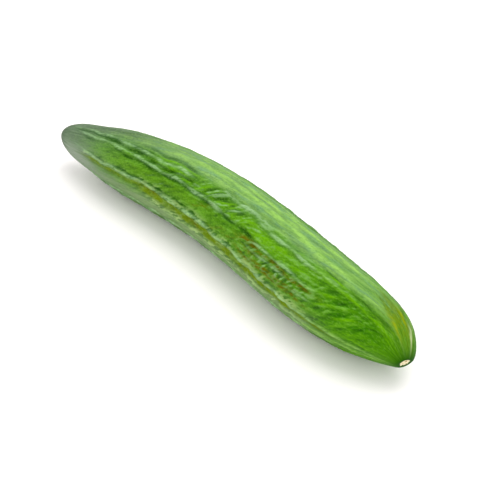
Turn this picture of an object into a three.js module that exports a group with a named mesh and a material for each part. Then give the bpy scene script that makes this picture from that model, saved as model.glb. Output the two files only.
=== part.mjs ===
// A long greenhouse cucumber lying on a table, as one closed solid.
// Units are millimetres and +Z is up. The fruit lies along X, its stem end at -X and its blossom end at +X.
// The origin is on the table, under the middle of the fruit's bounding box.

import * as THREE from "three";

// Driving dimensions of the fruit.
const LENGTH = 300;
const GIRTH_RADIUS = 25; // before the ends round it off

// Each end tapers over its reach. A lower power makes it blunter, and scar is the radius of its scar.
const STEM_END = { reach: 44, power: 0.66, scar: 3.8 };
const BLOSSOM_END = { reach: 33, power: 0.49, scar: 3.9 };
const SCAR_RECESS = 0.7; // the middle of each scar lies this far inside its rim
const WAIST = { at: 32, reach: 17, share: -0.08 }; // the narrow neck behind the stem end

// The centre line. Its bow to the side is a polynomial in s, from -1 at the stem end to 1 at the blossom end.
const BOW = [10, -11.5, -32.5, 15.5, 25.5];
const CENTRE_HEIGHT = 23.2; // a little less than the lowest skin needs, so the table cuts a small flat spot
const STEM_DROOP = { depth: 2.8, reach: 26 };
const BLOSSOM_DROOP = { depth: 6.8, reach: 14 };
const BLOSSOM_HOOK = { depth: 15, reach: 14 }; // the last turn towards -Y
const TIP_PUSH = { by: [1.6, -0.2, -0.3], reach: 4 }; // the blossom scar stands a little forward

// Five broad ridges give the section its corners. Angles are in degrees round the fruit: 0 is the +Y side and
// 90 the top. The width is in radians.
const RIDGES = { angles: [24, 96, 168, 240, 312], height: 1.1, width: 0.3 };

// Ribs of the slack skin, and the grooves between them, which have negative heights. Each runs from one place
// and angle to another. Places, heights and widths are in millimetres.
const RIBS = [
  { start: 28, end: 150, from: 158, to: 164, height: 0.9, width: 1.3 },
  { start: 148, end: 214, from: 163, to: 170, height: 0.8, width: 1.3 },
  { start: 210, end: 296, from: 171, to: 190, height: 0.8, width: 1.3 },
  { start: 34, end: 100, from: 167, to: 166, height: -1.1, width: 1.2 },
  { start: 98, end: 218, from: 168, to: 178, height: -1.2, width: 1.3 },
  { start: 214, end: 264, from: 179, to: 189, height: -0.7, width: 1.2 },
  { start: 40, end: 270, from: 174, to: 196, height: 0.5, width: 1.6 },
  { start: 36, end: 96, from: 118, to: 128, height: 0.8, width: 1.2 },
  { start: 94, end: 168, from: 128, to: 133, height: 0.7, width: 1.2 },
  { start: 66, end: 202, from: 131, to: 135.5, height: -0.9, width: 1.1 },
  { start: 42, end: 92, from: 106, to: 114.5, height: 0.8, width: 1.3 },
  { start: 95, end: 132, from: 116, to: 114, height: 0.8, width: 1.3 },
  { start: 52, end: 92, from: 115.5, to: 119, height: -0.9, width: 1.1 },
  { start: 92, end: 138, from: 122.5, to: 122, height: -0.9, width: 1.1 },
  { start: 58, end: 132, from: 104, to: 105, height: -0.7, width: 1.1 },
  { start: 163, end: 193, from: 107, to: 108, height: 0.7, width: 1.2 },
  { start: 194, end: 240, from: 113, to: 112, height: 0.7, width: 1.2 },
  { start: 238, end: 296, from: 112, to: 124, height: 0.8, width: 1.2 },
  { start: 155, end: 240, from: 102.5, to: 101, height: -0.5, width: 1.2 },
  { start: 238, end: 290, from: 102, to: 110, height: -0.9, width: 1.2 },
  { start: 194, end: 246, from: 115.5, to: 117, height: -0.6, width: 1.1 },
  { start: 203, end: 250, from: 137, to: 138, height: 0.7, width: 1.1 },
  { start: 188, end: 250, from: 141.5, to: 144, height: -0.7, width: 1.1 },
  { start: 188, end: 246, from: 158.5, to: 163, height: -0.7, width: 1.1 },
  { start: 92, end: 250, from: 88, to: 92, height: 0.3, width: 2 },
  { start: 150, end: 282, from: 76, to: 82, height: -0.3, width: 1.5 },
  { start: 60, end: 272, from: 68, to: 64, height: 0.35, width: 1.8 },
  { start: 276, end: 299, from: 66, to: 62, height: -1.3, width: 1.4 },
  { start: 280, end: 299, from: 50, to: 46, height: 1.3, width: 1.5 },
];

// The rest of the way round, ribs and grooves take turns at even steps, each a little unlike the last.
const FAR_SIDE = { first: 204, step: 7, count: 28, height: 0.6, width: 1.4, start: 30, end: 272 };
for (let i = 0; i < FAR_SIDE.count; i++) {
  const from = FAR_SIDE.first + FAR_SIDE.step * i + 2 * Math.sin(1.9 * i);
  RIBS.push({
    start: FAR_SIDE.start + 20 * Math.sin(2.3 * i) ** 2,
    end: FAR_SIDE.end - 60 * Math.sin(1.1 * i) ** 2,
    from,
    to: from + 5 * Math.sin(1.7 * i),
    height: FAR_SIDE.height * (i % 2 ? -1 : 1) * (1 + 0.3 * Math.sin(2.7 * i)),
    width: FAR_SIDE.width,
  });
}
const RIB_END_REACH = 2.5; // each rib rises and fades over about this length
const RIB_WANDER = { angle: 0.8, reach: 4, phase: 2.3 }; // its wave to either side, in degrees
const RIB_LUMPS = { share: 0.3, reach: 3.1, phase: 1.7 }; // its wave in height, which makes short welts

// Slanting wrinkles between the ribs, bent and broken up by slower waves.
const WRINKLES = { height: 0.22, round: 24, slant: 0.38 }; // slant is in radians a millimetre
const WRINKLE_BENDS = [
  { size: 1.1, reach: 13, round: 2, phase: 0 },
  { size: 0.8, reach: 31, round: -3, phase: 1 },
];
const WRINKLE_PATCHES = { share: 0.4, reach: 9, round: 4 };

// Flutes that run into the blossom scar, and the distances over which all relief dies out towards the scars.
const FLUTES = { height: 0.55, round: 9, reach: 14 };
const STEM_SMOOTH_REACH = 16;
const BLOSSOM_SMOOTH_REACH = 5;

// The corner beside the blossom scar, and the fuller underside that leads to it.
const TIP_BULGES = [
  { at: 300, reach: 2.5, angle: 8, width: 0.45, height: 0.5 },
  { at: 294, reach: 7, angle: 265, width: 0.6, height: 1 },
];

// The mesh has rows along the fruit, crowded towards the ends, and columns round it. Its first and last rows
// close the scars.
const ROWS = 52;
const COLUMNS = 110;
const SCAR_ROWS = 2;
const END_CROWDING = 0.6;

const radians = THREE.MathUtils.degToRad;
const bell = (distance, reach) => Math.exp(-((distance / reach) ** 2));
const roundBell = (angle, width) => Math.exp((Math.cos(angle) - 1) / width ** 2);
const step = (value) => 1 / (1 + Math.exp(-value));
const fading = (distance, reach) => Math.exp(-distance / reach);

// The rounding of one end as a share of the full girth, which starts from the scar's own radius.
function rounding(end, distance) {
  const headStart = -end.reach * Math.log(1 - (end.scar / GIRTH_RADIUS) ** (1 / end.power));
  return (1 - fading(distance + headStart, end.reach)) ** end.power;
}

function girth(along) {
  const waist = 1 + WAIST.share * bell(along - WAIST.at, WAIST.reach);
  return GIRTH_RADIUS * waist * rounding(STEM_END, along) * rounding(BLOSSOM_END, LENGTH - along);
}

function centre(along) {
  const s = (2 * along) / LENGTH - 1;
  const bow = BOW.reduce((sum, size, power) => sum + size * s ** power, 0);
  const toBlossom = LENGTH - along;
  const push = new THREE.Vector3(...TIP_PUSH.by).multiplyScalar(fading(toBlossom, TIP_PUSH.reach));
  return new THREE.Vector3(
    along - LENGTH / 2,
    bow - BLOSSOM_HOOK.depth * fading(toBlossom, BLOSSOM_HOOK.reach),
    CENTRE_HEIGHT -
      STEM_DROOP.depth * fading(along, STEM_DROOP.reach) -
      BLOSSOM_DROOP.depth * fading(toBlossom, BLOSSOM_DROOP.reach),
  ).add(push);
}

function ribRelief(rib, index, along, angle) {
  const t = (along - rib.start) / (rib.end - rib.start);
  const wander = RIB_WANDER.angle * Math.sin(along / RIB_WANDER.reach + RIB_WANDER.phase * index);
  const middle = THREE.MathUtils.lerp(rib.from, rib.to, THREE.MathUtils.clamp(t, 0, 1)) + wander;
  const lumps = 1 + RIB_LUMPS.share * Math.sin(along / RIB_LUMPS.reach + RIB_LUMPS.phase * index);
  const present = step((along - rib.start) / RIB_END_REACH) * step((rib.end - along) / RIB_END_REACH);
  return rib.height * lumps * present * roundBell(angle - radians(middle), rib.width / GIRTH_RADIUS);
}

function wrinkleRelief(along, angle) {
  const bends = WRINKLE_BENDS.reduce(
    (sum, bend) => sum + bend.size * Math.sin(along / bend.reach + bend.round * angle + bend.phase),
    0,
  );
  const patches = Math.sin(along / WRINKLE_PATCHES.reach + WRINKLE_PATCHES.round * angle);
  const strength = 1 - WRINKLE_PATCHES.share + WRINKLE_PATCHES.share * patches;
  return WRINKLES.height * strength * Math.sin(WRINKLES.round * angle + WRINKLES.slant * along + bends);
}

function tipBulge(bulge, along, angle) {
  const across = roundBell(angle - radians(bulge.angle), bulge.width);
  return bulge.height * bell(along - bulge.at, bulge.reach) * across;
}

// Height of the skin over the plain round section. It shrinks with the girth towards the ends.
function relief(along, angle) {
  const toBlossom = LENGTH - along;
  const share = girth(along) / GIRTH_RADIUS;
  const corners = RIDGES.angles.reduce((sum, at) => sum + roundBell(angle - radians(at), RIDGES.width), -1);
  const ribs = RIBS.reduce((sum, rib, index) => sum + ribRelief(rib, index, along, angle), 0);
  const flutes = FLUTES.height * Math.cos(FLUTES.round * angle) * fading(toBlossom, FLUTES.reach);
  const smooth = (1 - fading(along, STEM_SMOOTH_REACH)) * (1 - fading(toBlossom, BLOSSOM_SMOOTH_REACH));
  const bulges = TIP_BULGES.reduce((sum, bulge) => sum + tipBulge(bulge, along, angle), 0);
  return share * smooth * (RIDGES.height * corners + ribs + wrinkleRelief(along, angle) + flutes) + bulges;
}

// One point of the skin, on a section square to the centre line.
function skinPoint(row, angle) {
  const open = THREE.MathUtils.clamp((row - SCAR_ROWS) / (ROWS - 2 * SCAR_ROWS), 0, 1);
  const crowded = (1 - Math.cos(Math.PI * open)) / 2;
  const along = LENGTH * THREE.MathUtils.lerp(open, crowded, END_CROWDING);
  const stemScar = Math.min(1, row / SCAR_ROWS);
  const blossomScar = Math.min(1, (ROWS - row) / SCAR_ROWS);

  const tangent = centre(along + 1).sub(centre(along - 1)).normalize();
  const level = new THREE.Vector3(0, 0, 1).cross(tangent).normalize();
  const upward = new THREE.Vector3().crossVectors(tangent, level);
  const radius = (girth(along) + relief(along, angle)) * stemScar * blossomScar;
  const recess = SCAR_RECESS * (blossomScar ** 2 - stemScar ** 2);

  const point = centre(along)
    .addScaledVector(level, radius * Math.cos(angle))
    .addScaledVector(upward, radius * Math.sin(angle))
    .addScaledVector(tangent, recess);
  return point.setZ(Math.max(0, point.z));
}

function fruitGeometry() {
  const points = [skinPoint(0, 0)];
  for (let row = 1; row < ROWS; row++)
    for (let column = 0; column < COLUMNS; column++)
      points.push(skinPoint(row, (2 * Math.PI * column) / COLUMNS));
  points.push(skinPoint(ROWS, 0));

  const last = points.length - 1;
  const at = (row, column) => 1 + (row - 1) * COLUMNS + (column % COLUMNS);
  const faces = [];
  for (let column = 0; column < COLUMNS; column++) {
    faces.push(0, at(1, column + 1), at(1, column));
    faces.push(last, at(ROWS - 1, column), at(ROWS - 1, column + 1));
    for (let row = 1; row < ROWS - 1; row++) {
      const opposite = at(row + 1, column + 1);
      faces.push(at(row, column), at(row, column + 1), opposite);
      faces.push(at(row, column), opposite, at(row + 1, column));
    }
  }

  const geometry = new THREE.BufferGeometry().setFromPoints(points);
  geometry.setIndex(faces);
  geometry.computeBoundingBox();
  const middle = geometry.boundingBox.getCenter(new THREE.Vector3());
  geometry.translate(-middle.x, -middle.y, 0);
  geometry.computeVertexNormals();
  return geometry;
}

const skin = new THREE.MeshStandardMaterial({ color: 0x4f8f24, roughness: 0.42, metalness: 0 });

const cucumber = new THREE.Mesh(fruitGeometry(), skin);
cucumber.name = "cucumber";

const group = new THREE.Group();
group.add(cucumber);

export default group;
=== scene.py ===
"""A long greenhouse cucumber on a pale studio floor.

The fruit's formula is the one that its solid is made with, drawn on a finer mesh with finer wrinkles.
Lengths in the formula are in millimetres, and the last step of the tree turns them into metres.
Angles round the fruit are in degrees: 0 is the +Y side and 90 the top.
"""

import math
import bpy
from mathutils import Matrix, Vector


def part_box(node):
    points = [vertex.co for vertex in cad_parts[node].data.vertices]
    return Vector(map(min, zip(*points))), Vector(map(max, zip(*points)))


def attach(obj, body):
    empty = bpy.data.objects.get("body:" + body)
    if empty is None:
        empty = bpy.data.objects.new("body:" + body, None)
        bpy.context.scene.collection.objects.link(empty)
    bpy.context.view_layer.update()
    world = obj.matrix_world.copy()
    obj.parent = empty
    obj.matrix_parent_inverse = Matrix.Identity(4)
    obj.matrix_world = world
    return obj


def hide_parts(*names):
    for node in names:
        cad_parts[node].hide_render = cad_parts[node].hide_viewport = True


bl_info = {
    "name": "Greenhouse Cucumber",
    "version": (1, 0, 0),
    "blender": (4, 5, 0),
    "location": "View3D > Sidebar > Cucumber",
    "description": "Grows a ribbed, wrinkled cucumber over its solid and sets a plain studio round it",
    "category": "Object",
}

from collections import namedtuple

import bpy
from mathutils import Matrix, Vector

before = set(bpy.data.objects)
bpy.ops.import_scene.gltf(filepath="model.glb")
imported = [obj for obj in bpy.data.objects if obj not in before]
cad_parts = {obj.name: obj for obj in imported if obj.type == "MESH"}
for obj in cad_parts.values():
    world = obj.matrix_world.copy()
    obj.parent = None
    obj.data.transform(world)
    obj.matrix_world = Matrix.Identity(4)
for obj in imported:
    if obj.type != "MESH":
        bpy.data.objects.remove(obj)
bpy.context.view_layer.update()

FRUIT = "cucumber"
MILLIMETRE = 0.001

# The fruit's outline, as in its solid.
LENGTH = 300  # along the centre line
GIRTH_RADIUS = 25  # before the ends round it off
WAIST = {"at": 32, "reach": 17, "share": -0.08}
STEM_END = {"reach": 44, "power": 0.66, "scar": 3.8}
BLOSSOM_END = {"reach": 33, "power": 0.49, "scar": 3.9}
SCAR_RECESS = 0.7
BOW = [10, -11.5, -32.5, 15.5, 25.5]
CENTRE_HEIGHT = 23.2
STEM_DROOP = {"depth": 2.8, "reach": 26}
BLOSSOM_DROOP = {"depth": 6.8, "reach": 14}
BLOSSOM_HOOK = {"depth": 15, "reach": 14}
TIP_PUSH = {"by": (1.6, -0.2, -0.3), "reach": 4}

# The broad relief that the solid has too.
RIDGES = {"angles": [24, 96, 168, 240, 312], "height": 1.1, "width": 0.3}
WRINKLES = {"height": 0.22, "round": 24, "slant": 0.38}
WRINKLE_BENDS = [
    {"size": 1.1, "reach": 13, "round": 2, "phase": 0},
    {"size": 0.8, "reach": 31, "round": -3, "phase": 1},
]
WRINKLE_PATCHES = {"share": 0.4, "reach": 9, "round": 4}
FLUTES = {"height": 0.55, "round": 9, "reach": 14}
TIP_BULGES = [
    {"at": 300, "reach": 2.5, "angle": 8, "width": 0.45, "height": 0.5},
    {"at": 294, "reach": 7, "angle": 265, "width": 0.6, "height": 1},
]
STEM_SMOOTH_REACH = 16
BLOSSOM_SMOOTH_REACH = 5

# Ribs, and grooves with negative heights: start and end along the fruit, angle at each, height and
# half-width in millimetres, and tone. The solid has the same ones, a little wider as its mesh is coarser.
# Raised ribs are mostly toned with pale bloom and a painted highlight, grooves with dark green and painted
# shade.
Rib = namedtuple("Rib", "start end first last height width tone")
RIBS = [
    Rib(28, 150, 158, 164, 0.9, 1.2, "wax"),
    Rib(148, 214, 163, 170, 0.8, 1.0, "wax"),
    Rib(210, 296, 171, 190, 0.8, 1.0, "wax"),
    Rib(34, 100, 167, 166, -1.1, 1.2, "olive"),
    Rib(98, 218, 168, 178, -1.2, 1.4, "olive"),
    Rib(214, 264, 179, 189, -0.7, 1.0, "olive"),
    Rib(40, 270, 174, 196, 0.5, 1.5, "plain"),
    Rib(36, 96, 118, 128, 0.8, 0.9, "wax"),
    Rib(94, 168, 128, 133, 0.7, 0.9, "wax"),
    Rib(66, 202, 131, 135.5, -0.9, 0.8, "deep"),
    Rib(42, 92, 106, 114.5, 0.8, 1.0, "wax"),
    Rib(95, 132, 116, 114, 0.8, 1.0, "wax"),
    Rib(52, 92, 115.5, 119, -0.9, 0.8, "deep"),
    Rib(92, 138, 122.5, 122, -0.9, 0.8, "deep"),
    Rib(58, 132, 104, 105, -0.7, 0.9, "shade"),
    Rib(163, 193, 107, 108, 0.7, 0.9, "wax"),
    Rib(194, 240, 113, 112, 0.7, 0.9, "wax"),
    Rib(238, 296, 112, 124, 0.8, 0.9, "light"),
    Rib(155, 240, 102.5, 101, -0.5, 0.9, "shade"),
    Rib(238, 290, 102, 110, -0.9, 0.9, "plain"),
    Rib(194, 246, 115.5, 117, -0.6, 0.8, "plain"),
    Rib(203, 250, 137, 138, 0.7, 0.8, "wax"),
    Rib(188, 250, 141.5, 144, -0.7, 0.8, "rust"),
    Rib(188, 246, 158.5, 163, -0.7, 0.8, "rust"),
    Rib(92, 250, 88, 92, 0.3, 1.8, "plain"),
    Rib(150, 282, 76, 82, -0.3, 1.4, "plain"),
    Rib(60, 272, 68, 64, 0.35, 1.6, "plain"),
    Rib(276, 299, 66, 62, -1.3, 1.2, "olive"),
    Rib(280, 299, 50, 46, 1.3, 1.2, "wax"),
]

# The rest of the way round, ribs and grooves take turns at even steps.
FAR_SIDE = {"first": 204, "step": 7, "count": 28, "height": 0.6, "width": 1.2, "start": 30, "end": 272}
FAR_SIDE_CHANGES = {"first": 2, "turn": 5, "height": 0.3, "start": 20, "end": 60}


def far_side_rib(number):
    """One rib or groove of the far side, a little different from the last."""
    changes = FAR_SIDE_CHANGES
    first = FAR_SIDE["first"] + FAR_SIDE["step"] * number + changes["first"] * math.sin(1.9 * number)
    height = FAR_SIDE["height"] * (1 + changes["height"] * math.sin(2.7 * number))
    groove = number % 2
    return Rib(
        FAR_SIDE["start"] + changes["start"] * math.sin(2.3 * number) ** 2,
        FAR_SIDE["end"] - changes["end"] * math.sin(1.1 * number) ** 2,
        first,
        first + changes["turn"] * math.sin(1.7 * number),
        -height if groove else height,
        FAR_SIDE["width"],
        "deep" if groove else "wax",
    )


RIBS += [far_side_rib(number) for number in range(FAR_SIDE["count"])]

# Finer ribs and marks that only this skin has, painted highlights and painted shade among them.
MARKS = [
    Rib(34, 100, 160, 161, 0.0, 1.7, "bloom"),
    Rib(92, 152, 161.5, 163.5, 0.0, 2.3, "bloom"),
    Rib(146, 212, 165, 170, 0.0, 2.2, "bloom"),
    Rib(208, 246, 171, 176, 0.0, 2.0, "bloom"),
    Rib(96, 180, 178, 182, 0.0, 2.4, "bloom"),
    Rib(170, 244, 184, 192, 0.0, 2.0, "bloom"),
    Rib(158, 200, 105, 107, 0.0, 0.9, "bloom"),
    Rib(18, 46, 102, 106, 0.4, 0.9, "wax"),
    Rib(18, 42, 113, 118, 0.4, 0.9, "wax"),
    Rib(16, 60, 108, 111.5, -0.4, 0.9, "deep"),
    Rib(24, 40, 148, 157, 0.4, 0.9, "wax"),
    Rib(30, 44, 122, 127, -0.3, 0.7, "deep"),
    Rib(44, 104, 162.5, 163, 0.0, 0.8, "wax"),
    Rib(95, 162, 170.5, 174.5, 0.0, 1.1, "olive"),
    Rib(158, 234, 175, 180.5, 0.0, 0.9, "olive"),
    Rib(279, 284, 74, 86, -0.1, 0.8, "deep"),
    Rib(283, 290, 64, 70, -0.1, 0.6, "deep"),
    Rib(284, 294, 84, 92, -0.1, 0.5, "deep"),
    Rib(238, 262, 112, 115.5, 0.1, 0.7, "wax"),
    Rib(45, 145, 156.5, 157, -0.3, 0.5, "deep"),
    Rib(86, 132, 104.5, 105, -0.1, 0.8, "deep"),
    Rib(42, 62, 109, 112, -0.5, 0.6, "deep"),
    Rib(60, 94, 110.5, 111, -0.5, 0.6, "deep"),
    Rib(96, 132, 110, 109, 0.5, 0.6, "light"),
    Rib(92, 128, 119, 118.5, 0.4, 0.5, "light"),
    Rib(108, 120, 122, 113, 0.5, 0.7, "light"),
    Rib(60, 90, 124, 126, 0.4, 0.5, "light"),
    Rib(122, 134, 128, 122, 0.5, 0.6, "light"),
    Rib(136, 150, 131, 108, 0.6, 0.7, "light"),
    Rib(147, 158, 129, 112, 0.5, 0.7, "wax"),
    Rib(142, 154, 128, 106, -0.5, 0.8, "deep"),
    Rib(156, 172, 131, 110, 0.6, 0.7, "light"),
    Rib(152, 165, 128, 110, -0.5, 0.8, "deep"),
    Rib(169, 180, 127, 113, 0.5, 0.7, "wax"),
    Rib(180, 198, 128, 112, 0.4, 0.7, "light"),
    Rib(192, 212, 130, 119, 0.4, 0.7, "light"),
    Rib(212, 230, 124, 119, 0.3, 0.7, "light"),
    Rib(226, 244, 132, 124, 0.4, 0.7, "light"),
    Rib(143, 151, 171, 176, -0.9, 1.0, "rust"),
    Rib(96, 110, 163.5, 166, -0.4, 0.7, "rust"),
    Rib(163, 205, 171, 173, 0.2, 0.6, "olive"),
    Rib(227, 232, 176, 183, -0.6, 0.8, "olive"),
    Rib(229, 236, 172, 178, 0.6, 0.8, "wax"),
    Rib(165, 171, 158, 150, 0.1, 0.8, "rust"),
    Rib(178, 186, 156, 149, 0.1, 0.6, "rust"),
    Rib(187, 199, 145, 135, 0.1, 0.8, "rust"),
    Rib(194, 203, 149, 151, -0.2, 0.7, "rust"),
    Rib(203, 213, 154, 156, -0.2, 0.7, "rust"),
    Rib(214, 222, 157, 154, -0.2, 0.6, "rust"),
    Rib(224, 236, 157, 153, -0.2, 0.6, "rust"),
    Rib(150, 155, 141, 134, 0.0, 0.8, "rust"),
    Rib(143, 150, 148, 142, 0.0, 0.6, "rust"),
    Rib(97, 101, 146, 141, 0.3, 0.5, "wax"),
    Rib(107, 112, 151, 145, 0.3, 0.5, "wax"),
    Rib(190, 206, 141, 138, 0.3, 0.6, "wax"),
    Rib(196, 206, 147, 147, 0.5, 0.7, "wax"),
    Rib(208, 216, 149, 148, 0.5, 0.7, "wax"),
    Rib(218, 230, 148, 147, 0.5, 0.7, "wax"),
    Rib(198, 210, 158, 159, 0.5, 0.6, "wax"),
    Rib(214, 226, 159, 160, 0.5, 0.6, "wax"),
    Rib(235, 248, 155, 153, 0.4, 0.7, "wax"),
    Rib(244, 262, 140, 128, 0.5, 0.8, "light"),
    Rib(252, 272, 152, 130, 0.5, 0.8, "light"),
    Rib(262, 280, 158, 138, 0.4, 0.8, "light"),
    Rib(250, 280, 178, 186, 0.5, 0.6, "lime"),
    Rib(258, 296, 186, 194, 0.4, 0.6, "lime"),
    Rib(246, 292, 196, 202, 0.5, 0.8, "lime"),
    Rib(250, 284, 191, 197, -0.4, 0.8, "shade"),
    Rib(268, 296, 173, 180, 0.3, 0.6, "light"),
    Rib(240, 270, 106, 109, 0.3, 0.6, "light"),
    Rib(150, 168, 90, 93, -0.2, 0.6, "shade"),
    Rib(100, 152, 92, 86, 0.2, 1.3, "lime"),
    Rib(148, 192, 87, 88, 0.2, 1.2, "lime"),
    Rib(188, 232, 84, 88, 0.2, 1.2, "lime"),
    Rib(222, 262, 91, 95, 0.2, 1.0, "lime"),
    Rib(160, 196, 73, 75, 0.1, 0.9, "lime"),
    Rib(196, 262, 69, 67, 0.1, 0.8, "lime"),
    Rib(150, 210, 79, 81, -0.1, 0.8, "shade"),
    Rib(214, 268, 76, 79, -0.1, 0.7, "shade"),
    Rib(276, 292, 72, 81, -0.4, 1.0, "olive"),
    Rib(277, 285, 82, 92, -0.3, 1.0, "olive"),
    Rib(285, 292, 94, 98, 0.2, 0.9, "yellow"),
    Rib(284, 292, 58, 67, 0.1, 1.0, "yellow"),
    Rib(290, 292, 114, 116, 0.2, 1.0, "lime"),
    Rib(280, 289, 42, 38, 0.1, 1.6, "wax"),
    Rib(242, 286, 104.5, 112, -0.1, 0.6, "deep"),
    # Painted shade along the far outline as the camera sees it.
    Rib(6, 60, 106, 78, 0.0, 1.5, "edge"),
    Rib(60, 130, 77, 54, 0.0, 1.5, "edge"),
    Rib(130, 285, 53, 38, 0.0, 1.5, "edge"),
    Rib(280, 284, 115, 117, 0.2, 0.9, "light"),
    Rib(284, 298, 104, 101, 0.3, 0.6, "wax"),
    Rib(286, 299, 128, 134, 0.3, 0.6, "light"),
    # A painted highlight on the blossom end's far side.
    Rib(292, 299, 54, 68, 0.3, 1.5, "cream"),
    Rib(281, 287, 48, 57, -0.2, 1.2, "deep"),
    Rib(286, 293, 44, 54, -0.2, 1.3, "deep"),
    Rib(222, 290, 46, 36, -0.3, 0.8, "shade"),
]
TONES = ("wax", "bloom", "deep", "shade", "light", "olive", "rust", "lime", "yellow", "cream", "edge")

# How a rib fades at its ends, wanders to either side and breaks up into lumps.
RIB_END_REACH = 2.5
RIB_WANDER = {"angle": 0.8, "reach": 4, "phase": 2.3}
RIB_LUMPS = {"share": 0.3, "reach": 3.1, "phase": 1.7}

# The mesh, finer than the solid's: how much its ends crowd the rows, and the share of the rows that
# closes each scar.
ROWS = 440
COLUMNS = 216
END_CROWDING = 0.35
SCAR_SHARE = 0.012
SEAM = 1e-6  # metres within which the grid's two edges join

# Noise on the skin: the size of its lumps across and along the fruit, its slant in radians a millimetre,
# its detail and its seed. The relief's seeds count from the fruit's own seed.
Grain = namedtuple("Grain", "across lengthways slant detail seed")
SEED = 5
NOISE_RADIUS = 24
BEND = {"size": 0.14, "grain": Grain(11, 16, 0, 1, 20)}
FINE_GRAINS = {
    "creases": Grain(3.2, 15, 0.016, 1.5, 0),
    "streaks": Grain(1.8, 18, 0.003, 1.5, 3),
    "pebbles": Grain(1.5, 3, 0.016, 1.5, 5),
    "beads": Grain(2.4, 3.8, 0.03, 1.5, 7),
    "puckers": Grain(2.3, 6, 0.036, 1.5, 11),
    "dashes": Grain(3, 9, 0.03, 1.5, 13),
    "welts": Grain(2.3, 8, 0.012, 1.5, 17),
}
FINE_HEIGHTS = {
    "creases": 0.42,
    "streaks": 0.9,
    "pebbles": 0.5,
    "beads": 3.2,
    "puckers": 1.7,
    "dashes": 2.4,
    "welts": 1.1,
}
PAINT_GRAINS = {
    "streaks": Grain(1.5, 24, 0.005, 3, 1),
    "flecks": Grain(1.2, 3.4, 0.016, 3, 2),
    "blotches": Grain(9, 40, 0, 2, 3),
    "grain": Grain(0.9, 1.2, 0, 1, 5),
    "threads": Grain(0.8, 20, 0.004, 2, 8),
    "mottle": Grain(2.6, 12, 0.003, 2, 9),
    "dots": Grain(0.8, 1.6, 0, 1, 10),
    "beads": Grain(4, 6, 0, 1, 11),
}
CRACKS = {"across": 3, "lengthways": 60, "detail": 3, "seed": 12}  # across: lumps from middle to rim

# Patches of the skin: the middle and reach along the fruit, and the middle and width round it.
Patch = namedtuple("Patch", "at reach angle width")
BEADED_PATCH = Patch(222, 30, 150, 9)
TIP_PATCH = Patch(272, 26, 144, 22)
OBLIQUE_PATCH = Patch(162, 24, 119, 11)
BRIGHT_PATCH = Patch(206, 48, 122, 11)
YELLOW_FACE = Patch(100, 62, 146, 8)
OLIVE_TIP = Patch(288, 9, 74, 20)
DARK_SHOULDER = Patch(42, 44, 84, 18)
DARK_CHEEK = Patch(20, 16, 130, 24)
PALE_CHEEK = Patch(24, 24, 182, 22)

# Sectors, which are patches that run the whole way along: the middle and width round the fruit.
SECTORS = {
    # The crest, top and back take pale bloom with a painted sheen, and the low flank and belly pale bloom
    # with painted light bounced from the floor.
    "crest": (98, 5),
    "top": (72, 17),
    "back": (20, 30),
    # Painted shade along the far outline.
    "far edge": (34, 12),
    "calm": (80, 14),
    "shoulder": (82, 20),
    "crinkled": (116, 12),
    "warm": (168, 22),
    "low flank": (192, 11),
    "grey flank": (192, 16),
    "belly": (250, 40),
}

# How far from the blossom end a change of looks starts and is complete.
TIP_STRETCH = (75, 30)
BELLY_STRETCH = (62, 30)
BARE_STRETCH = (22, 8)

# The finish, and the studio in metres. The power of each light is a setting of the stage.
SKIN_FINISH = {"specular": 0.02, "bump strength": 0.3, "bump distance": 0.0003}
FLOOR = {"size": 8, "roughness": 0.7}
KEY_LIGHT = {"place": (0.0, 0.38, 1.15), "size": 1.1, "colour": (1.0, 0.99, 0.97)}
FILL_LIGHT = {"place": (0.5, -0.7, 0.9), "size": 0.8, "colour": (1.0, 1.0, 1.0)}
SKY_COLOUR = (1.0, 0.98, 0.975, 1.0)
NEAREST_SEEN = 0.01


class Value:
    """A number on a socket: sums written with it add Math nodes to its tree."""

    def __init__(self, nodes, socket):
        self.nodes = nodes
        self.socket = socket

    def _maths(self, operation, *numbers):
        return self.nodes.value("ShaderNodeMath", {"operation": operation}, dict(enumerate(numbers)))

    def __add__(self, other):
        return self._maths("ADD", self, other)

    def __radd__(self, other):
        return self._maths("ADD", other, self)

    def __sub__(self, other):
        return self._maths("SUBTRACT", self, other)

    def __rsub__(self, other):
        return self._maths("SUBTRACT", other, self)

    def __mul__(self, other):
        return self._maths("MULTIPLY", self, other)

    def __rmul__(self, other):
        return self._maths("MULTIPLY", other, self)

    def __truediv__(self, other):
        return self._maths("DIVIDE", self, other)

    def __rtruediv__(self, other):
        return self._maths("DIVIDE", other, self)

    def __pow__(self, other):
        return self._maths("POWER", self, other)

    def __neg__(self):
        return self._maths("MULTIPLY", self, -1)

    def exp(self):
        return self._maths("EXPONENT", self)

    def log(self):
        return self._maths("LOGARITHM", self, math.e)

    def sin(self):
        return self._maths("SINE", self)

    def cos(self):
        return self._maths("COSINE", self)

    def size(self):
        return self._maths("ABSOLUTE", self)

    def least(self, other):
        return self._maths("MINIMUM", self, other)

    def most(self, other):
        return self._maths("MAXIMUM", self, other)

    def share(self):
        """The value held between 0 and 1."""
        return self.most(0).least(1)

    def between(self, low, high):
        """0 at low and 1 at high, smoothly, and level beyond them."""
        ranged = {"Value": self, "From Min": low, "From Max": high, "To Min": 0.0, "To Max": 1.0}
        return self.nodes.value("ShaderNodeMapRange", {"interpolation_type": "SMOOTHSTEP"}, ranged)


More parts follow.
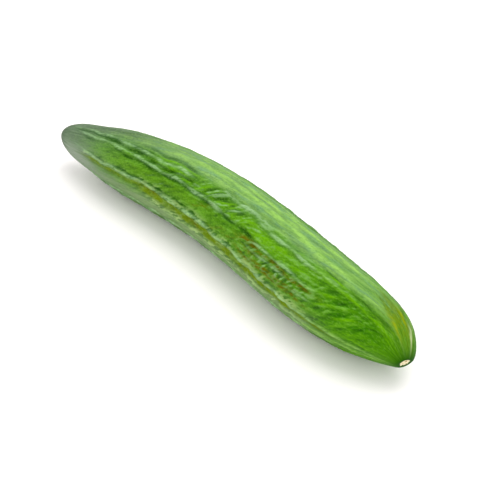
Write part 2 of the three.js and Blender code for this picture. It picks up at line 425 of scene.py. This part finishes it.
class Nodes:
    """Adds nodes to one tree and links them."""

    def __init__(self, tree):
        self.tree = tree

    def add(self, kind, settings=None, inputs=None):
        """Adds a node, sets its settings first, and then each of its sockets to a value or a link."""
        node = self.tree.nodes.new(kind)
        for name, setting in (settings or {}).items():
            setattr(node, name, setting)
        for name, given in (inputs or {}).items():
            socket = node.inputs[name]
            if isinstance(given, Value):
                given = given.socket
            if isinstance(given, bpy.types.NodeSocket):
                self.tree.links.new(given, socket)
            else:
                socket.default_value = given
        return node

    def value(self, kind, settings=None, inputs=None, output=0):
        return Value(self, self.add(kind, settings, inputs).outputs[output])

    def vector(self, x, y, z):
        return self.value("ShaderNodeCombineXYZ", None, {0: x, 1: y, 2: z})

    def parts(self, vector):
        split = self.add("ShaderNodeSeparateXYZ", None, {0: vector})
        return [Value(self, socket) for socket in split.outputs]

    def noise(self, place, seed, detail):
        """Noise from 0 to 1 with lumps about 1 unit apart in place."""
        given = {"Vector": place, "W": seed, "Scale": 1.0, "Detail": detail}
        return self.value("ShaderNodeTexNoise", {"noise_dimensions": "4D"}, given)

    def mix(self, factor, first, second):
        """A colour: first where factor is 0 and second where it is 1."""
        settings = {"data_type": "RGBA", "clamp_factor": True}
        return self.value("ShaderNodeMix", settings, {0: factor, 6: first, 7: second}, output=2)


def bell(distance, reach):
    return (-((distance / reach) ** 2)).exp()


def round_bell(angle, width):
    """A bell round the fruit of the given half-width, with angle from its middle, both in radians."""
    return ((angle.cos() - 1) / width**2).exp()


def step(value):
    return 1 / (1 + (-value).exp())


def fading(distance, reach):
    return (-distance / reach).exp()


def total(values):
    """The sum of several values."""
    first, *rest = values
    for value in rest:
        first = first + value
    return first


def rounding(end, distance, girth_radius):
    """The rounding of one end as a share of the full girth, which starts from the scar's own radius."""
    head_start = (1 - (end["scar"] / girth_radius) ** (1 / end["power"])).log() * -end["reach"]
    return (1 - fading(distance + head_start, end["reach"])) ** end["power"]


def girth(along, length, girth_radius):
    waist = 1 + WAIST["share"] * bell(along - WAIST["at"], WAIST["reach"])
    ends = rounding(STEM_END, along, girth_radius) * rounding(BLOSSOM_END, length - along, girth_radius)
    return girth_radius * waist * ends


def centre(along, length):
    """The three coordinates of the centre line."""
    s = 2 * along / length - 1
    to_blossom = length - along
    bow = BOW[0] + total([size * s**power for power, size in enumerate(BOW) if power])
    hook = BLOSSOM_HOOK["depth"] * fading(to_blossom, BLOSSOM_HOOK["reach"])
    stem_droop = STEM_DROOP["depth"] * fading(along, STEM_DROOP["reach"])
    blossom_droop = BLOSSOM_DROOP["depth"] * fading(to_blossom, BLOSSOM_DROOP["reach"])
    curve = along - length / 2, bow - hook, CENTRE_HEIGHT - stem_droop - blossom_droop
    push = fading(to_blossom, TIP_PUSH["reach"])
    return [part + by * push for part, by in zip(curve, TIP_PUSH["by"])]


def open_tree(name, inputs, output):
    """The nodes of a new tree, and the values of its inputs. Each input has a kind and a default, or None."""
    tree = bpy.data.node_groups.new(name, "GeometryNodeTree")
    for each, (kind, default) in inputs.items():
        socket = tree.interface.new_socket(name=each, in_out="INPUT", socket_type=kind)
        if default is not None:
            socket.default_value = default
    tree.interface.new_socket(name=output[0], in_out="OUTPUT", socket_type=output[1])
    nodes = Nodes(tree)
    source = nodes.add("NodeGroupInput")
    return nodes, [Value(nodes, source.outputs[each]) for each in inputs]


def rib_tree():
    """A group that gives one rib's mask at each place on the skin, from 0 to about 1."""
    names = ("Along", "Angle", "Start", "End", "First Angle", "Last Angle", "Width", "Number")
    inputs = {name: ("NodeSocketFloat", None) for name in names}
    nodes, given = open_tree("Rib", inputs, ("Mask", "NodeSocketFloat"))
    along, angle, start, end, first, last, width, number = given
    t = ((along - start) / (end - start)).share()
    wander = RIB_WANDER["angle"] * (along / RIB_WANDER["reach"] + RIB_WANDER["phase"] * number).sin()
    middle = first + (last - first) * t + wander
    lumps = 1 + RIB_LUMPS["share"] * (along / RIB_LUMPS["reach"] + RIB_LUMPS["phase"] * number).sin()
    present = step((along - start) / RIB_END_REACH) * step((end - along) / RIB_END_REACH)
    mask = lumps * present * round_bell(angle - middle * (math.pi / 180), width)
    nodes.add("NodeGroupOutput", None, {"Mask": mask})
    return nodes.tree


def rib_masks(nodes, along, angle, girth_radius):
    """Every rib with its mask."""
    group = rib_tree()
    masks = []
    for number, rib in enumerate(RIBS + MARKS):
        given = {
            "Along": along,
            "Angle": angle,
            "Start": rib.start,
            "End": rib.end,
            "First Angle": rib.first,
            "Last Angle": rib.last,
            "Width": rib.width / girth_radius,
            "Number": number,
        }
        masks.append((rib, nodes.value("GeometryNodeGroup", {"node_tree": group}, given)))
    return masks


def toned(masks, tone):
    """The masks of all ribs of one tone, added up."""
    return total([mask for rib, mask in masks if rib.tone == tone])


def wrinkle_relief(along, angle):
    bends = total(
        [
            bend["size"] * (along / bend["reach"] + bend["round"] * angle + bend["phase"]).sin()
            for bend in WRINKLE_BENDS
        ]
    )
    patches = (along / WRINKLE_PATCHES["reach"] + WRINKLE_PATCHES["round"] * angle).sin()
    strength = 1 - WRINKLE_PATCHES["share"] + WRINKLE_PATCHES["share"] * patches
    waves = (WRINKLES["round"] * angle + WRINKLES["slant"] * along + bends).sin()
    return WRINKLES["height"] * strength * waves


def sector(name, angle):
    """A soft strip along the whole skin, from 0 to 1."""
    middle, width = SECTORS[name]
    return round_bell(angle - math.radians(middle), math.radians(width))


def patch(place, along, angle):
    """A soft patch of the skin, from 0 to 1."""
    across = round_bell(angle - math.radians(place.angle), math.radians(place.width))
    return bell(along - place.at, place.reach) * across


def skin_noise(nodes, grain, along, angle, seed=0):
    """Noise on the skin from 0 to 1, without a seam."""
    turned = angle + grain.slant * along
    radius = NOISE_RADIUS / grain.across
    place = nodes.vector(turned.cos() * radius, turned.sin() * radius, along / grain.lengthways)
    return nodes.noise(place, seed + grain.seed, grain.detail)


def tip_bulge(bulge, along, angle):
    across = round_bell(angle - math.radians(bulge["angle"]), bulge["width"])
    return bulge["height"] * bell(along - bulge["at"], bulge["reach"]) * across


def fine_wrinkles(nodes, along, angle, seed, bloom):
    """Creases and puckers too small for the solid, in millimetres."""

    def waves(name):
        return skin_noise(nodes, FINE_GRAINS[name], along, angle, seed) - 0.5

    def patched(name, place):
        return waves(name) * FINE_HEIGHTS[name] * patch(place, along, angle)

    creases = 0.35 - waves("creases").size() * 3.5
    welts = 0.3 - waves("welts").size() * 4
    calm = 1 - 0.5 * sector("calm", angle) - 0.1 * patch(YELLOW_FACE, along, angle)
    everywhere = (
        creases * FINE_HEIGHTS["creases"]
        + waves("streaks") * FINE_HEIGHTS["streaks"]
        + waves("pebbles") * FINE_HEIGHTS["pebbles"]
    )
    return (
        calm * everywhere
        + patched("beads", BEADED_PATCH)
        + patched("puckers", TIP_PATCH)
        + patched("dashes", OBLIQUE_PATCH)
        + welts.most(-0.35) * FINE_HEIGHTS["welts"] * bloom
    )


def broad_relief(along, to_blossom, angle, masks):
    """Ridges, ribs, slanting wrinkles and flutes, in millimetres."""
    ribs = total([rib.height * mask for rib, mask in masks if rib.height])
    corners = total([round_bell(angle - math.radians(at), RIDGES["width"]) for at in RIDGES["angles"]]) - 1
    flutes = FLUTES["height"] * (angle * FLUTES["round"]).cos() * fading(to_blossom, FLUTES["reach"])
    return RIDGES["height"] * corners + ribs + wrinkle_relief(along, angle) + flutes


def section_axes(along, length):
    """The centre line's direction, and the level and the upward axis of the section across it."""
    ahead, behind = centre(along + 1, length), centre(along - 1, length)
    tangent = [after - before for after, before in zip(ahead, behind)]
    flat = (tangent[0] ** 2 + tangent[1] ** 2) ** 0.5
    whole = (flat**2 + tangent[2] ** 2) ** 0.5
    forward = [part / whole for part in tangent]
    level = [-forward[1] * whole / flat, forward[0] * whole / flat, 0]
    upward = [-forward[2] * level[1], forward[2] * level[0], flat / whole]
    return forward, level, upward


FRUIT_INPUTS = {
    "Length": ("NodeSocketFloat", LENGTH),
    "Girth Radius": ("NodeSocketFloat", GIRTH_RADIUS),
    "Relief": ("NodeSocketFloat", 1),
    "Fine Relief": ("NodeSocketFloat", 1),
    "Rows": ("NodeSocketInt", ROWS),
    "Columns": ("NodeSocketInt", COLUMNS),
    "Seed": ("NodeSocketFloat", SEED),
    "Skin": ("NodeSocketMaterial", None),
}


def fruit_tree():
    """The tree that grows the fruit's skin over a grid: rows along it and columns round it."""
    nodes, given = open_tree("Cucumber skin", FRUIT_INPUTS, ("Geometry", "NodeSocketGeometry"))
    length, girth_radius, relief, fine, rows, columns, seed, skin = given
    size = {"Size X": 1, "Size Y": 1, "Vertices X": rows + 1, "Vertices Y": columns + 1}
    geometry = nodes.value("GeometryNodeMeshGrid", None, size)
    row_place, column_place, _ = nodes.parts(nodes.value("GeometryNodeInputPosition"))
    t = row_place + 0.5
    angle = (0.5 - column_place) * (2 * math.pi)
    opening = ((t - SCAR_SHARE) / (1 - 2 * SCAR_SHARE)).share()
    crowded = 0.5 - (opening * math.pi).cos() / 2
    along = length * (crowded * END_CROWDING + opening * (1 - END_CROWDING))
    to_blossom = length - along
    stem_scar = (t / SCAR_SHARE).least(1)
    blossom_scar = ((1 - t) / SCAR_SHARE).least(1)

    bend = skin_noise(nodes, BEND["grain"], along, angle, seed) - 0.5
    bent = angle + bend * BEND["size"]
    masks = rib_masks(nodes, along, bent, girth_radius)
    broad = broad_relief(along, to_blossom, angle, masks)
    wrinkles = fine_wrinkles(nodes, along, bent, seed, toned(masks, "bloom").share())
    bulges = total([tip_bulge(bulge, along, angle) for bulge in TIP_BULGES])

    smooth = (1 - fading(along, STEM_SMOOTH_REACH)) * (1 - fading(to_blossom, BLOSSOM_SMOOTH_REACH))
    plain = girth(along, length, girth_radius)
    share = plain / girth_radius * smooth
    height = share * (relief * broad + fine * wrinkles) + relief * bulges
    radius = (plain + height) * stem_scar * blossom_scar
    recess = SCAR_RECESS * (blossom_scar**2 - stem_scar**2)

    middle = centre(along, length)
    forward, level, upward = section_axes(along, length)
    sideways = radius * angle.cos()
    lift = radius * angle.sin()
    x, y, z = [middle[i] + sideways * level[i] + lift * upward[i] + recess * forward[i] for i in range(3)]
    place = nodes.vector(x * MILLIMETRE, y * MILLIMETRE, z.most(0) * MILLIMETRE)

    stored = {
        "along": ("FLOAT", along),
        "around": ("FLOAT_VECTOR", nodes.vector(angle.cos(), angle.sin(), 0)),
        "wrinkles": ("FLOAT", share * wrinkles),
        "scar": ("FLOAT", (radius / BLOSSOM_END["scar"]).least(1)),
    }
    for tone in TONES:
        stored[tone] = ("FLOAT", toned(masks, tone))
    for name, (kind, value) in stored.items():
        geometry = nodes.value(
            "GeometryNodeStoreNamedAttribute",
            {"data_type": kind, "domain": "POINT"},
            {"Geometry": geometry, "Name": name, "Value": value},
        )
    steps = {
        "GeometryNodeSetPosition": {"Position": place},
        "GeometryNodeMergeByDistance": {"Distance": SEAM},
        "GeometryNodeSetShadeSmooth": {"Shade Smooth": True},
        "GeometryNodeRealizeInstances": {},
        "GeometryNodeSetMaterial": {"Material": skin},
    }
    for kind, inputs in steps.items():
        geometry = nodes.value(kind, None, {"Geometry": geometry, **inputs})
    nodes.add("NodeGroupOutput", None, {"Geometry": geometry})
    return nodes.tree


def shown(red, green, blue):
    """A colour as it looks on a screen, 0 to 255 each, as the linear colour that a shader takes."""
    linear = [
        part / 12.92 if part <= 0.04045 else ((part + 0.055) / 1.055) ** 2.4
        for part in (red / 255, green / 255, blue / 255)
    ]
    return (*linear, 1.0)


class Skin:
    """What the skin is like at each place, and its colour, which is painted on in layers."""

    def __init__(self, nodes, look):
        self.nodes = nodes
        self.colours = {
            each.identifier: tuple(getattr(look, each.identifier))
            for each in look.bl_rna.properties
            if each.subtype == "COLOR"
        }
        self.colour = self.colours["green"]
        self.along = self.stored("along")
        self.to_blossom = look.length / MILLIMETRE - self.along
        self.cosine, self.sine, _ = nodes.parts(self.stored("around", "Vector"))
        self.angle = nodes.value("ShaderNodeMath", {"operation": "ARCTAN2"}, {0: self.sine, 1: self.cosine})
        self.wrinkles = self.stored("wrinkles")
        self.scar = self.stored("scar")
        self.tone = {name: self.stored(name).share() for name in TONES}
        self.noise = {
            name: skin_noise(nodes, grain, self.along, self.angle) for name, grain in PAINT_GRAINS.items()
        }
        self.broken = self.noise["flecks"].between(0.32, 0.58)
        self.tip = self.to_blossom.between(*TIP_STRETCH)

    def stored(self, name, output="Fac"):
        return self.nodes.value("ShaderNodeAttribute", {"attribute_name": name}, None, output)

    def sector(self, name):
        return sector(name, self.angle)

    def patch(self, place):
        return patch(place, self.along, self.angle)

    def blend(self, share, first, second):
        """Two named colours mixed, with this share of the second."""
        return self.nodes.mix(share, self.colours[first], self.colours[second])

    def paint(self, share, colour):
        """Covers this share of the colour so far with a named or a mixed one."""
        self.colour = self.nodes.mix(share, self.colour, self.colours.get(colour, colour))


def paint_greens(skin):
    """The main greens, with painted shade in the wrinkles' valleys and painted highlights on their crests."""
    noise = skin.noise
    bright = noise["blotches"] * 0.5 + noise["streaks"] * 0.5 + noise["flecks"] * 0.3 - 0.15
    bright = bright.between(0.3, 0.7)
    skin.paint((bright * 0.6 + 0.4 * skin.patch(BRIGHT_PATCH)).share(), "light_green")
    skin.paint(skin.patch(YELLOW_FACE) * 0.6, "yellow_green")
    skin.paint(skin.patch(TIP_PATCH) * 0.85, "tip_green")
    # Painted shade in the valleys of the fine wrinkles, and a painted highlight on their crests.
    skin.paint((skin.wrinkles * -4).share() * 0.75, "deep")
    skin.paint((skin.wrinkles * 4).share() * 0.6, "light_green")
    skin.paint(noise["grain"].between(0.45, 0.7) * 0.3, "deep")


def paint_bands(skin):
    """The streaky pale bands along the top and the underside: pale bloom with a painted sheen on the top, and
    pale bloom with painted light bounced from the floor on the underside. Gives the share of each.
    """
    noise = skin.noise
    streaky = 0.55 + 0.45 * noise["streaks"].between(0.3, 0.65)
    top = 0.75 * skin.sector("crest") + 0.85 * skin.sector("top") + 0.5 * skin.sector("back")
    top = top * streaky * (1 - 0.3 * skin.tip) * (1 - 0.8 * skin.to_blossom.between(*BARE_STRETCH))
    top = (top * (1 - 0.2 * bell(skin.along - 45, 30))).share()
    under = (0.8 * skin.sector("low flank") + 0.9 * skin.sector("belly")) * streaky
    under = (under * (1 - 0.9 * skin.to_blossom.between(*BELLY_STRETCH))).share()
    # Pale bloom with a painted sheen on the top, and pale bloom with painted light bounced from the floor on
    # the underside.
    skin.paint(top, "pale")
    skin.paint(under, "under")
    skin.paint(top * (1 - noise["threads"].between(0.36, 0.6)) * 0.7, "shade")
    skin.paint(top * noise["mottle"].between(0.47, 0.64) * 0.6, "lime")
    skin.paint(top * noise["mottle"].between(0.52, 0.36) * 0.6, "blue_green")
    # Painted shade along the far outline of the fruit as the camera sees it.
    skin.paint((0.7 * skin.sector("far edge") + 0.6 * skin.tone["edge"]).share(), "edge")
    skin.paint(skin.tone["lime"] * (0.2 + 0.55 * noise["flecks"].between(0.3, 0.6)), "lime")
    return top, under


def paint_stem_end(skin):
    """The grey cast over the stem end, and pale bloom with painted highlights on the crests of the crinkled
    patches.
    """
    greyer = 0.9 * skin.sector("shoulder") + 0.6 * skin.sector("grey flank")
    grey = bell(skin.along, 42) + bell(skin.along, 95) * greyer
    grey = grey * (0.6 + 0.4 * skin.noise["flecks"].between(0.3, 0.65))
    skin.paint(grey.share() * 0.9, "grey")
    darker = skin.patch(DARK_SHOULDER) + skin.patch(DARK_CHEEK)
    skin.paint(darker * (0.3 + 0.6 * skin.noise["streaks"].between(0.35, 0.6)), "dark_grey")
    # Pale bloom with a painted highlight on the crests of the crinkled patches.
    crinkled = skin.patch(OBLIQUE_PATCH) + skin.patch(BEADED_PATCH) + 0.7 * skin.sector("crinkled")
    skin.paint((skin.wrinkles * 5 - 0.4).share() * crinkled.share() * 0.6, "wax")


def paint_ribs(skin, top):
    """The waxy ribs with painted highlights on them, the dark, olive and rusty grooves with painted shade in
    the dark ones and beside the ribs, and the ragged bloom beside them.
    """
    tone, broken, flecks = skin.tone, skin.broken, skin.noise["flecks"]
    welts = (skin.wrinkles * 4 + flecks - 0.5).between(-0.1, 0.7)
    skin.paint(tone["bloom"] * welts * 0.85, skin.blend(skin.sector("warm"), "bloom", "warm_bloom"))
    # Painted shade between the welts inside the bloom.
    skin.paint(tone["bloom"] * (1 - welts) * 0.18, "deep")
    # Dark green with painted shade in the dark grooves.
    skin.paint(tone["deep"] * (0.7 + 0.3 * broken) * 0.88, "deep")
    # Painted shade on the sides of the ribs, less on the top band and near the blossom end.
    flank_shade = 4 * tone["wax"] * (1 - tone["wax"]) * (1 - top) * (1 - 0.6 * skin.tip)
    skin.paint(flank_shade * 0.32, "deep")
    # Painted highlights on the lighter ribs.
    skin.paint(tone["light"] ** 1.5 * (0.5 + 0.5 * broken) * 0.8, "light_green")
    # Pale bloom with a painted highlight on the ribs, turning lime towards the blossom end.
    wax_and_highlight_share = tone["wax"] ** 2 * (0.2 + 0.8 * broken)
    wax_and_highlight_share = wax_and_highlight_share * (1 - 0.4 * skin.tip) * (1 - 0.2 * bell(skin.along - 40, 28))
    skin.paint(wax_and_highlight_share * 0.75, skin.blend(skin.tip * 0.7, "wax", "lime"))
    skin.paint(tone["shade"] * 0.5, "shade")
    skin.paint(4 * tone["olive"] * (1 - tone["olive"]) * 0.4, "deep")
    skin.paint(tone["olive"] * (0.55 + 0.4 * skin.noise["beads"].between(0.4, 0.55)), "olive")
    skin.paint(tone["rust"] * (0.2 + 0.8 * flecks.between(0.4, 0.56)), "rust")


def paint_ends(skin, top):
    """The spots and dry skin by the blossom end, the veil over the stem end, and the rims of both."""
    noise = skin.noise
    skin.paint(skin.patch(OLIVE_TIP) * (0.15 + 0.75 * noise["flecks"].between(0.45, 0.54)), "olive")
    skin.paint(skin.tone["yellow"] * (0.5 + 0.5 * skin.broken), "yellow")
    # A painted highlight on the blossom end's far side.
    skin.paint(skin.tone["cream"] ** 1.5 * (0.7 + 0.5 * skin.broken), "cream")
    skin.paint(noise["dots"].between(0.47, 0.3) * (0.2 + 0.05 * top), "deep")
    skin.paint(noise["dots"].between(0.53, 0.7) * (0.15 + 0.1 * top), "lime")
    skin.paint(bell(skin.along, 32) * (0.3 + 0.3 * noise["threads"].between(0.35, 0.6)), "grey")
    paler = skin.patch(PALE_CHEEK) * (0.3 + 0.5 * noise["streaks"].between(0.35, 0.6))
    skin.paint(paler * (1 - 0.7 * skin.tone["olive"]), "pale_grey")
    skin.paint((skin.along + 20 * noise["streaks"] - 10).between(19, 2) * 0.8, "rim")
    skin.paint(fading(skin.to_blossom, 2) * 0.95, "deep")


def paint_scars(skin):
    """The two corky, cracked scars. Gives the share that they cover."""
    reach = skin.scar * CRACKS["across"]
    place = skin.nodes.vector(skin.cosine * reach, skin.sine * reach, skin.to_blossom / CRACKS["lengthways"])
    cracks = skin.nodes.noise(place, CRACKS["seed"], CRACKS["detail"])
    corky = 1 - (skin.scar + cracks * 0.8).between(1.02, 1.14)
    skin.paint(corky, skin.blend(cracks.between(0.46, 0.6) * 0.9, "cork", "cork_dark"))
    return corky


def new_material(name):
    """A material with an empty tree, and the nodes to fill it."""
    material = bpy.data.materials.new(name)
    material.use_nodes = True
    material.node_tree.nodes.clear()
    return material, Nodes(material.node_tree)


def finish_material(nodes, finish):
    shader = nodes.add("ShaderNodeBsdfPrincipled", None, finish)
    nodes.add("ShaderNodeOutputMaterial", None, {"Surface": shader.outputs[0]})


def skin_material(look):
    """Waxy green skin with paler ribs carrying painted highlights, olive and brown grooves, painted shade in
    the creases, and two corky scars.
    """
    material, nodes = new_material("Cucumber skin")
    skin = Skin(nodes, look)
    paint_greens(skin)
    top, under = paint_bands(skin)
    paint_stem_end(skin)
    paint_ribs(skin, top)
    paint_ends(skin, top)
    corky = paint_scars(skin)

    streaks = skin.noise["streaks"]
    relief = {
        "Strength": SKIN_FINISH["bump strength"],
        "Distance": SKIN_FINISH["bump distance"],
        "Height": skin.noise["grain"] * 0.5 + streaks * 0.5,
    }
    finish = {
        "Base Color": skin.colour,
        "Roughness": (0.36 + 0.14 * top.most(under) + 0.1 * streaks + 0.4 * corky).share(),
        "Specular IOR Level": SKIN_FINISH["specular"],
        "Normal": nodes.value("ShaderNodeBump", None, relief),
    }
    finish_material(nodes, finish)
    return material


def colour_property(name, description, colour):
    return bpy.props.FloatVectorProperty(
        name=name, description=description, subtype="COLOR", size=4, min=0.0, max=1.0, default=colour
    )


class FruitLook(bpy.types.PropertyGroup):
    """The fruit's sizes and colours."""

    length: bpy.props.FloatProperty(
        name="Length",
        description="Length along the centre line",
        default=LENGTH * MILLIMETRE,
        unit="LENGTH",
        min=0.1,
        max=0.5,
    )
    girth_radius: bpy.props.FloatProperty(
        name="Girth radius",
        description="Radius before the ends round it off",
        default=GIRTH_RADIUS * MILLIMETRE,
        unit="LENGTH",
        min=0.01,
    )
    relief: bpy.props.FloatProperty(
        name="Relief", description="Strength of the ridges, ribs and wrinkles", default=1.0, min=0.0, max=2.0
    )
    fine_relief: bpy.props.FloatProperty(
        name="Fine relief", description="Strength of the creases and puckers", default=1.0, min=0.0, max=2.0
    )
    rows: bpy.props.IntProperty(
        name="Rows", description="Mesh rows along the fruit", default=ROWS, min=60, max=480
    )
    columns: bpy.props.IntProperty(
        name="Columns", description="Mesh columns round the fruit", default=COLUMNS, min=60
    )
    seed: bpy.props.FloatProperty(name="Seed", description="Which set of fine wrinkles", default=SEED)
    green: colour_property("Green", "Main green of the skin", shown(58, 112, 0))
    # Brighter green, also a painted highlight on the wrinkles' crests and the lighter ribs.
    light_green: colour_property("Light green", "Brighter green between the streaks", shown(98, 160, 0))
    yellow_green: colour_property("Yellow green", "The yellower face", shown(80, 124, 0))
    tip_green: colour_property("Tip green", "The blossom end", shown(48, 112, 0))
    # Dark green, also used as painted shade in valleys, grooves and beside the ribs.
    deep: colour_property("Deep green", "Valleys", shown(24, 74, 0))
    # Pale bloom with a painted sheen where the light falls on the top and the back.
    pale: colour_property("Pale green", "The top and the back", shown(124, 166, 93))
    # Pale bloom with painted light bounced from the floor.
    under: colour_property("Underside", "The underside and the flank by it", shown(122, 148, 98))
    # Pale bloom with a painted highlight on the ribs' crests.
    wax: colour_property("Wax", "Pale bloom on the ribs", shown(142, 182, 128))
    bloom: colour_property("Bloom", "Ragged pale patches beside the ribs", shown(136, 176, 120))
    warm_bloom: colour_property("Warm bloom", "The same patches lower on the flank", shown(156, 184, 112))
    blue_green: colour_property("Blue green", "Cooler patches on the top", shown(98, 146, 106))
    # Painted shade along the far outline as the camera sees it.
    edge: colour_property("Edge", "The far flank", shown(70, 116, 44))
    yellow: colour_property("Yellow", "Spots at the blossom end", shown(142, 156, 0))
    # A painted highlight on the blossom end's far side.
    cream: colour_property("Cream", "Dry skin at the blossom end", shown(206, 218, 168))
    dark_grey: colour_property("Dark grey", "The shoulder behind the stem end", shown(58, 84, 50))
    shade: colour_property("Shade", "Faint lines on the pale top", shown(84, 122, 66))
    grey: colour_property("Grey green", "The stem end", shown(112, 130, 108))
    pale_grey: colour_property("Pale grey", "Bloom low on the stem end", shown(144, 156, 140))
    rim: colour_property("Rim", "Edge of the stem scar", shown(48, 74, 44))
    lime: colour_property("Lime", "Bright streaks on the top", shown(144, 192, 88))
    olive: colour_property("Olive", "The main groove and the blossom end's patches", shown(100, 128, 0))
    rust: colour_property("Rust", "Brown scuffed lines", shown(92, 96, 0))
    cork: colour_property("Cork", "The scars", shown(234, 226, 190))
    cork_dark: colour_property("Dark cork", "Cracks of the scars", shown(160, 132, 70))


class StageLook(bpy.types.PropertyGroup):
    """The camera, floor and lights."""

    azimuth: bpy.props.FloatProperty(
        name="Azimuth",
        description="Direction of the camera round the fruit",
        default=math.radians(46),
        subtype="ANGLE",
    )
    elevation: bpy.props.FloatProperty(
        name="Elevation",
        description="Height of the camera above the horizon",
        default=math.radians(37),
        subtype="ANGLE",
    )
    field_of_view: bpy.props.FloatProperty(
        name="Field of view",
        description="Angle that the camera takes in",
        default=math.radians(28),
        subtype="ANGLE",
    )
    distance: bpy.props.FloatProperty(
        name="Distance", description="From the camera to what it looks at", default=0.57825, unit="LENGTH"
    )
    looks_at: bpy.props.FloatVectorProperty(
        name="Looks at",
        description="Point in the middle of the view",
        default=(0.0309, -0.0074, 0.021),
        subtype="XYZ",
    )
    floor_colour: colour_property("Floor", "Colour of the floor", shown(252, 250, 250))
    key_power: bpy.props.FloatProperty(
        name="Key light",
        description="Power of the large light behind the fruit",
        default=7.3,
        subtype="POWER",
    )
    fill_power: bpy.props.FloatProperty(
        name="Fill light", description="Power of the light near the camera", default=1.0, subtype="POWER"
    )
    sky: bpy.props.FloatProperty(name="Sky", description="Strength of the even light all round", default=1.09)


class CUCUMBER_OT_grow_fruit(bpy.types.Operator):
    """Grow the fine skin in place of the solid"""

    bl_idname = "cucumber.grow_fruit"
    bl_label = "Grow fruit"

    def execute(self, context):
        look = context.scene.cucumber_fruit
        tree = fruit_tree()
        holder = bpy.data.objects.new("Skin holder", bpy.data.meshes.new("Skin holder"))
        context.scene.collection.objects.link(holder)
        modifier = holder.modifiers.new("Skin", "NODES")
        modifier.node_group = tree
        sizes = {
            "Length": look.length / MILLIMETRE,
            "Girth Radius": look.girth_radius / MILLIMETRE,
            "Relief": look.relief,
            "Fine Relief": look.fine_relief,
            "Rows": look.rows,
            "Columns": look.columns,
            "Seed": look.seed,
            "Skin": skin_material(look),
        }
        for name, size in sizes.items():
            modifier[tree.interface.items_tree[name].identifier] = size

        evaluated = holder.evaluated_get(context.evaluated_depsgraph_get())
        mesh = bpy.data.meshes.new_from_object(evaluated)
        bpy.data.objects.remove(holder)
        if not mesh.polygons:
            raise RuntimeError("the fruit's tree made no mesh")

        corners = [Vector(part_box(FRUIT)[i]) for i in range(2)]
        low = Vector([min(v.co[i] for v in mesh.vertices) for i in range(3)])
        high = Vector([max(v.co[i] for v in mesh.vertices) for i in range(3)])
        shift = (corners[0] + corners[1] - low - high) / 2
        mesh.transform(Matrix.Translation((shift.x, shift.y, 0)))
        mesh.name = "Cucumber skin"
        fruit = bpy.data.objects.new("cucumber_skin", mesh)
        context.scene.collection.objects.link(fruit)
        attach(fruit, "root")
        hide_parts(FRUIT)
        return {"FINISHED"}


def area_light(name, light, power):
    """A square soft light that faces the fruit."""
    lamp = bpy.data.lights.new(name, "AREA")
    lamp.shape = "SQUARE"
    lamp.size = light["size"]
    lamp.energy = power
    lamp.color = light["colour"]
    stand = bpy.data.objects.new(name, lamp)
    stand.location = light["place"]
    stand.rotation_euler = (-Vector(light["place"])).to_track_quat("-Z", "Y").to_euler()
    bpy.context.scene.collection.objects.link(stand)


class CUCUMBER_OT_set_stage(bpy.types.Operator):
    """Set the floor, the lights and the camera"""

    bl_idname = "cucumber.set_stage"
    bl_label = "Set stage"

    def execute(self, context):
        scene = context.scene
        stage = scene.cucumber_stage
        bpy.ops.mesh.primitive_plane_add(size=FLOOR["size"])
        floor = context.object
        floor.name = "Floor"
        material, nodes = new_material("Floor")
        finish = {"Base Color": tuple(stage.floor_colour), "Roughness": FLOOR["roughness"]}
        finish_material(nodes, finish)
        floor.data.materials.append(material)

        area_light("Key light", KEY_LIGHT, stage.key_power)
        area_light("Fill light", FILL_LIGHT, stage.fill_power)

        world = bpy.data.worlds.new("Studio")
        world.use_nodes = True
        background = world.node_tree.nodes["Background"]
        background.inputs["Color"].default_value = SKY_COLOUR
        background.inputs["Strength"].default_value = stage.sky
        scene.world = world
        scene.view_settings.view_transform = "Standard"

        flat = math.cos(stage.elevation)
        back = Vector(
            (math.sin(stage.azimuth) * flat, -math.cos(stage.azimuth) * flat, math.sin(stage.elevation))
        )
        camera = bpy.data.objects.new("Camera", bpy.data.cameras.new("Camera"))
        camera.data.angle = stage.field_of_view
        camera.data.clip_start = NEAREST_SEEN
        camera.location = Vector(stage.looks_at) + back * stage.distance
        camera.rotation_euler = (-back).to_track_quat("-Z", "Y").to_euler()
        scene.collection.objects.link(camera)
        scene.camera = camera
        return {"FINISHED"}


class CUCUMBER_PT_panel(bpy.types.Panel):
    """Lists the cucumber's steps and settings"""

    bl_idname = "CUCUMBER_PT_panel"
    bl_label = "Greenhouse Cucumber"
    bl_space_type = "VIEW_3D"
    bl_region_type = "UI"
    bl_category = "Cucumber"

    def draw(self, context):
        for operator, group in STEPS:
            self.layout.operator(operator.bl_idname)
            settings = getattr(context.scene, group)
            for name in settings.bl_rna.properties.keys():
                if name not in ("rna_type", "name"):
                    self.layout.prop(settings, name)


STEPS = [(CUCUMBER_OT_grow_fruit, "cucumber_fruit"), (CUCUMBER_OT_set_stage, "cucumber_stage")]
GROUPS = {"cucumber_fruit": FruitLook, "cucumber_stage": StageLook}
CLASSES = (FruitLook, StageLook, CUCUMBER_OT_grow_fruit, CUCUMBER_OT_set_stage, CUCUMBER_PT_panel)


def register():
    for each in CLASSES:
        bpy.utils.register_class(each)
    for name, group in GROUPS.items():
        setattr(bpy.types.Scene, name, bpy.props.PointerProperty(type=group))


def unregister():
    for name in GROUPS:
        delattr(bpy.types.Scene, name)
    for each in reversed(CLASSES):
        bpy.utils.unregister_class(each)


def main():
    register()
    bpy.ops.cucumber.grow_fruit()
    bpy.ops.cucumber.set_stage()


if __name__ == "__main__":
    main()
